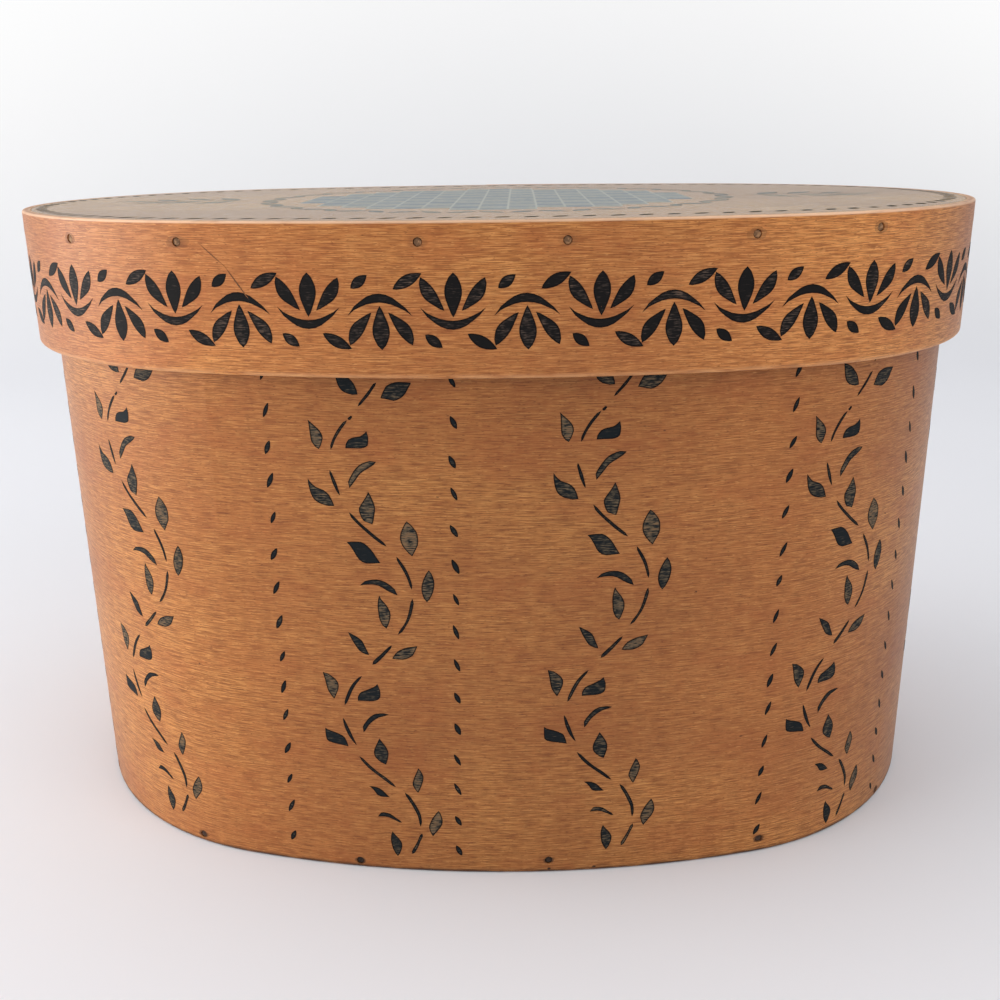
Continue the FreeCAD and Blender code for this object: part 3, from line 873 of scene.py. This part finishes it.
# Running border of the lid's side: black sprigs that stand and hang in turn, each on its curved stem.
# It is milk paint too, dabbed with a drier brush through one plate that was moved on along the band.
border_middle = 165.4
border_pitch = 36.0
border_count = 18
border_paint = (22, 20, 20)
border_film = (96, 84, 76)
leaf_form = (0.42, 0.86, 1.0, 0.82, 0.36)
bud_form = (0.3, 0.7, 1.0, 0.95, 0.5)
# Each mark: start run and rise, end run and rise, bulge to its left and right, its form and its load
sprig_marks = [
    (1.0, -1.0, 17.0, -1.0, 5.4, -3.2, leaf_form, 1.0), (9.0, 1.4, 9.2, -9.4, 2.1, 2.1, bud_form, 1.0),
    (6.9, -0.2, 1.2, -8.3, 1.0, 2.2, bud_form, 0.95), (11.1, -0.2, 16.9, -8.2, 2.2, 1.0, bud_form, 0.95),
    (12.4, 5.4, 19.6, 9.2, 1.6, 1.3, leaf_form, 1.0), (2.0, 5.6, 6.2, 8.8, 1.3, 1.3, leaf_form, 1.0),
]
lid_wall = on_wall(lid_face)
lid_paint = paint_material("lid_stencil_paint", border_paint, border_film, paint_ridge, lid_strip_in,
                           lid_stain)
sprig_slits = []
for flip, shift in ((1, 0.0), (-1, border_pitch / 2)):
    for start_run, start_rise, end_run, end_rise, left, right, form, load in sprig_marks:
        above, below = (left, right) if flip > 0 else (right, left)
        sprig_slits.append(slit(start_run + shift, start_rise * flip, end_run + shift, end_rise * flip,
                                [above * part for part in form], [-below * part for part in form], load))
sprig_plate = join_all(sprig_slits, "sprig_plate")
border_runs = [border_pitch * (k - border_count / 2) for k in range(border_count)]
border = stencil_through(sprig_plate, "stencil_border", [(run, border_middle, 0.0) for run in border_runs],
                         lid_wall)
dry_paint(border, lid_paint, "lid")


# Painted lid board: an oval of two blue-grey checks in a wreath of leaves, with a spray to each side
# and a dashed line just inside the rim. It is general folk stencil work in the same dry paint.
check_size = 8.0
check_gap = 0.42
dark_check_loads = (0.72, 0.98)
light_check_load = 0.42
medallion_across = 60.0
medallion_deep = 58.0
check_dark = (66, 92, 116)
check_light = (148, 156, 148)
check_ridge = (176, 178, 166)
leaf_slate = (88, 104, 106)
leaf_film = (136, 140, 124)
board_paint_gloss = 0.35
soft_ridge = (74, 72, 62)
wreath_across = 72.0
wreath_deep = 69.0
wreath_count = 56
wreath_leaf = 9.0
wreath_leaf_half = 1.9
wreath_slant = math.radians(38)
wreath_loads = (0.55, 0.95)
spray_loads = (0.5, 0.9)
# Each leaf of a spray: start and end across and deep from the lid's middle, and half its width
spray_marks = [
    (80, 0, 97, 2, 0.9), (97, 2, 114, -1, 0.8), (84, 3, 93, 15, 2.5), (84, -3, 94, -14, 2.5),
    (94, 5, 104, 15, 2.3), (95, -1, 106, -12, 2.3), (104, 4, 114, 11, 2.1), (105, -3, 115, -10, 2.1),
    (112, 1, 123, 2, 2.0),
]
rim_inset = 11.0
rim_stretch = 1.04
rim_turn = math.radians(2.0)
rim_dash_length = 5.6
rim_dash_width = 2.7
rim_dash_pitch = 6.9
rim_dash_slant = math.radians(38)
rim_dash_form = (1.0, 1.0, 1.0, 1.0, 1.0)
rim_dash_lengths = (0.85, 1.1)
rim_dash_loads = (0.8, 1.05)
rim_dash_paint = (30, 30, 24)
rim_dash_film = (72, 68, 50)
rim_dash_gloss = 0.8


def on_board(across, deep, lift=0.0):
    """Lays flat marks on the top of the lid board, seen from above."""
    return Vector((across, deep, lid_top_height + paint_proud / 2 + lift)) * MM


def lay_down(piece, lay):
    """Moves a flat piece from its drawing to its place on the box."""
    for vertex in piece.data.vertices:
        vertex.co = lay(vertex.co.x, vertex.co.z, vertex.co.y)


deselect()
columns = 2 * math.ceil(medallion_across / check_size) + 1
bpy.ops.mesh.primitive_grid_add(x_subdivisions=columns, y_subdivisions=columns, size=columns * check_size)
medallion = bpy.context.object
medallion.name = "stencil_medallion"
bpy.ops.object.mode_set(mode="EDIT")
bpy.ops.mesh.select_mode(type="FACE")
bpy.ops.object.mode_set(mode="OBJECT")
for face in medallion.data.polygons:
    reach = (face.center.x / medallion_across) ** 2 + (face.center.y / medallion_deep) ** 2
    face.select = reach > 1
bpy.ops.object.mode_set(mode="EDIT")
bpy.ops.mesh.delete(type="FACE")
bpy.ops.mesh.select_all(action="SELECT")
bpy.ops.mesh.inset(thickness=check_gap, use_individual=True)
bpy.ops.object.mode_set(mode="OBJECT")
inset = medallion.data.attributes.new("inset", "FLOAT", "POINT")
paint = medallion.data.attributes.new("load", "FLOAT", "POINT")
square_loads = {}
for vertex in medallion.data.vertices:
    column, line = round(vertex.co.x / check_size), round(vertex.co.y / check_size)
    out = max(abs(vertex.co.x - column * check_size), abs(vertex.co.y - line * check_size))
    inset.data[vertex.index].value = check_size / 2 - out
    dabbed = chance.uniform(*dark_check_loads) if (column + line) % 2 else light_check_load
    square_loads.setdefault((column, line), dabbed)
    paint.data[vertex.index].value = square_loads[(column, line)]
    vertex.co = (vertex.co.x, 0, vertex.co.y)
lay_down(medallion, on_board)
check_paint = paint_material("medallion_paint", check_dark, check_light, check_ridge, lid_board_in,
                             board_stain, board_paint_gloss)
dry_paint(medallion, check_paint, "lid")

leaves = []
for k in range(wreath_count):
    turn = 2 * math.pi * k / wreath_count
    middle = Vector((wreath_across * math.cos(turn), wreath_deep * math.sin(turn)))
    way = Vector((-wreath_across * math.sin(turn), wreath_deep * math.cos(turn))).normalized()
    way.rotate(Matrix.Rotation(wreath_slant if k % 2 else -wreath_slant, 2))
    tip, foot = middle + way * wreath_leaf / 2, middle - way * wreath_leaf / 2
    leaves.append(even_slit(*foot, *tip, wreath_leaf_half, leaf_form, chance.uniform(*wreath_loads)))
for side in (-1, 1):
    for start_x, start_y, end_x, end_y, half in spray_marks:
        leaves.append(even_slit(start_x * side, start_y, end_x * side, end_y, half, leaf_form,
                                chance.uniform(*spray_loads)))
leaves = join_all(leaves, "stencil_leaves")
lay_down(leaves, on_board)
leaf_paint = paint_material("leaf_paint", leaf_slate, leaf_film, soft_ridge, lid_board_in, board_stain,
                            board_paint_gloss)
dry_paint(leaves, leaf_paint, "lid")

rim_dashes = []
rim_face = lid_face - rim_inset
rim_run = 2 * (side_half_angle * (side_arc_radius + rim_face)
               + (math.pi / 2 - side_half_angle) * (end_arc_radius + rim_face))
rim_count = round(2 * rim_run / rim_dash_pitch)
for k in range(rim_count):
    run = (k - rim_count / 2) * 2 * rim_run / rim_count
    half = rim_dash_length / 2 * chance.uniform(*rim_dash_lengths)
    turn = wall_turn(run, rim_face)
    middle = wall_spot(turn, 0, rim_face).to_2d() / MM
    middle.x *= rim_stretch
    middle.rotate(Matrix.Rotation(rim_turn, 2))
    slant = turn + rim_turn + rim_dash_slant
    way = Vector((math.cos(slant), math.sin(slant))) * half
    rim_dashes.append(even_slit(*(middle - way), *(middle + way), rim_dash_width / 2, rim_dash_form,
                                chance.uniform(*rim_dash_loads), steps=3))
rim_line = join_all(rim_dashes, "stencil_rim_dashes")
lay_down(rim_line, on_board)
rim_paint = paint_material("rim_dash_paint", rim_dash_paint, rim_dash_film, soft_ridge, lid_board_in,
                           board_stain, rim_dash_gloss)
dry_paint(rim_line, rim_paint, "lid")


# Marks of age, each a skin of darkened wood: a stain round every brad, where iron and damp met,
# a long scratch and a hair crack on the lid, small dents along the foot and specks on the wall.
lid_stain_reach = 3.0
foot_stain_reach = 2.1
stain_inner = 1.15
stain_corners = 20
stain_rim = (0.75, 1.0)
stain_wide = 1.25
stain_tall = 0.7
stain_sunk = 0.05
lid_stain_load = 0.22
foot_stain_load = 0.7
# Each brad but the one on the lap: the share of the way round from the back towards +X, and the share of
# the board's thickness below its top face
lid_brads = [
    (0.076, 0.46), (0.150, 0.55), (0.224, 0.48), (0.294, 0.55), (0.372, 0.42), (0.416, 0.46), (0.476, 0.50),
    (0.522, 0.51), (0.601, 0.53), (0.647, 0.56), (0.702, 0.58), (0.770, 0.47), (0.846, 0.52), (0.920, 0.45),
]
foot_brads = [
    (0.078, 0.55), (0.150, 0.44), (0.240, 0.58), (0.326, 0.70), (0.397, 0.32), (0.481, 0.36), (0.554, 0.66),
    (0.622, 0.62), (0.696, 0.48), (0.768, 0.60), (0.845, 0.42), (0.925, 0.54),
]
box_round = 764.4
lid_board_deep = 9.5
foot_board_deep = 6.4
# Start run and rise, end run and rise, half the width, and how dark
lid_scars = [
    (-72.7, 181.7, -66.0, 176.0, 0.16, 0.8), (-66.1, 176.1, -60.2, 168.0, 0.2, 0.95),
    (24.0, 166.3, 41.5, 165.2, 0.12, 0.6),
]
wall_scars = [
    (14.0, 1.0, 15.3, 1.2, 0.5, 0.9), (27.2, 1.0, 28.6, 1.3, 0.45, 0.9), (54.6, 87.3, 55.4, 87.0, 0.3, 0.8),
    (-15.2, 116.4, -14.2, 116.2, 0.25, 0.7), (70.2, 40.4, 71.4, 40.6, 0.25, 0.7),
    (-88.0, 62.0, -87.2, 61.7, 0.3, 0.7), (118.0, 101.0, 119.1, 100.8, 0.25, 0.7),
    (-132.0, 24.2, -131.0, 24.4, 0.25, 0.7), (44.0, 133.1, 44.9, 133.0, 0.22, 0.7),
]
scar_brown = (52, 29, 18)
stain_brown = (70, 46, 34)
worn_gloss = 0.5
worn_rim = 0.12
worn_cloud_size = (1.6, 0.7, 8.0)
worn_clouds = (0.25, 0.6, 0.55, 1.1)


def worn_wood(name, dark, place_in, tones):
    """Stained wood that darkens from the rim of a mark inwards, as much as the mark's load says."""
    material, tree, shader = new_material(name)
    place = place_in(tree)
    wood = wood_of(tree, place, tones)
    load, inset = load_and_inset(tree)
    cloudy = noise(tree, stretched(tree, place, worn_cloud_size), 2.0)
    share = sum_of(tree, "MULTIPLY", load, between(tree, inset, 0.0, worn_rim))
    share = sum_of(tree, "MULTIPLY", share, between(tree, cloudy, *worn_clouds), clamp=True)
    tone = blend_colours(tree, share, wood.outputs["Color"], seen(*dark))
    satin(tree, shader, tone, wood.outputs["Fibre"], worn_gloss)
    return material


def stain_ring(run, rise, reach, load):
    """The stain round one brad, wider along the grain."""
    deselect()
    bpy.ops.mesh.primitive_circle_add(vertices=stain_corners, radius=reach, fill_type="NGON")
    ring = bpy.context.object
    bpy.ops.object.mode_set(mode="EDIT")
    bpy.ops.mesh.select_all(action="SELECT")
    bpy.ops.mesh.inset(thickness=reach - stain_inner)
    bpy.ops.mesh.delete(type="FACE")
    bpy.ops.object.mode_set(mode="OBJECT")
    inset = ring.data.attributes.new("inset", "FLOAT", "POINT")
    paint = ring.data.attributes.new("load", "FLOAT", "POINT")
    for vertex in ring.data.vertices:
        inner = math.hypot(vertex.co.x, vertex.co.y) < (reach + stain_inner) / 2
        inset.data[vertex.index].value = worn_rim if inner else 0.0
        paint.data[vertex.index].value = load
        stretch = 1.0 if inner else chance.uniform(*stain_rim)
        wide, tall, lift = (1.0, 1.0, 0.0) if inner else (stain_wide, stain_tall, -stain_sunk)
        vertex.co = (run + vertex.co.x * stretch * wide, lift, rise + vertex.co.y * stretch * tall)
    return ring


def scars(marks):
    """Scratches, cracks, dents and specks."""
    return [even_slit(*ends, half, leaf_form, dark) for *ends, half, dark in marks]


def on_lid_edge(run, rise, lift):
    """Lays flat marks on the lid's wall, with their run read on the lower band."""
    return wall_spot(wall_turn(run, 0.0), rise, lid_face + paint_proud + lift)


lid_stains = [stain_ring((0.5 - share) * box_round, lid_top_height - deep * lid_board_deep, lid_stain_reach,
                         lid_stain_load) for share, deep in lid_brads]
foot_stains = [stain_ring((0.5 - share) * box_round, (1 - deep) * foot_board_deep, foot_stain_reach,
                          foot_stain_load) for share, deep in foot_brads]
lid_marks = join_all(scars(lid_scars), "lid_wear")
box_marks = join_all(foot_stains + scars(wall_scars), "box_wear")
lay_down(lid_marks, lid_wall)
lay_down(box_marks, box_wall)
lid_stains = join_all(lid_stains, "lid_stains")
lay_down(lid_stains, on_lid_edge)
lid_marks = join_all([lid_marks, lid_stains], "lid_wear")
dry_paint(lid_marks, worn_wood("lid_wear", stain_brown, lid_strip_in, lid_stain), "lid")
dry_paint(box_marks, worn_wood("box_wear", scar_brown, box_strip_in, box_stain), "box")
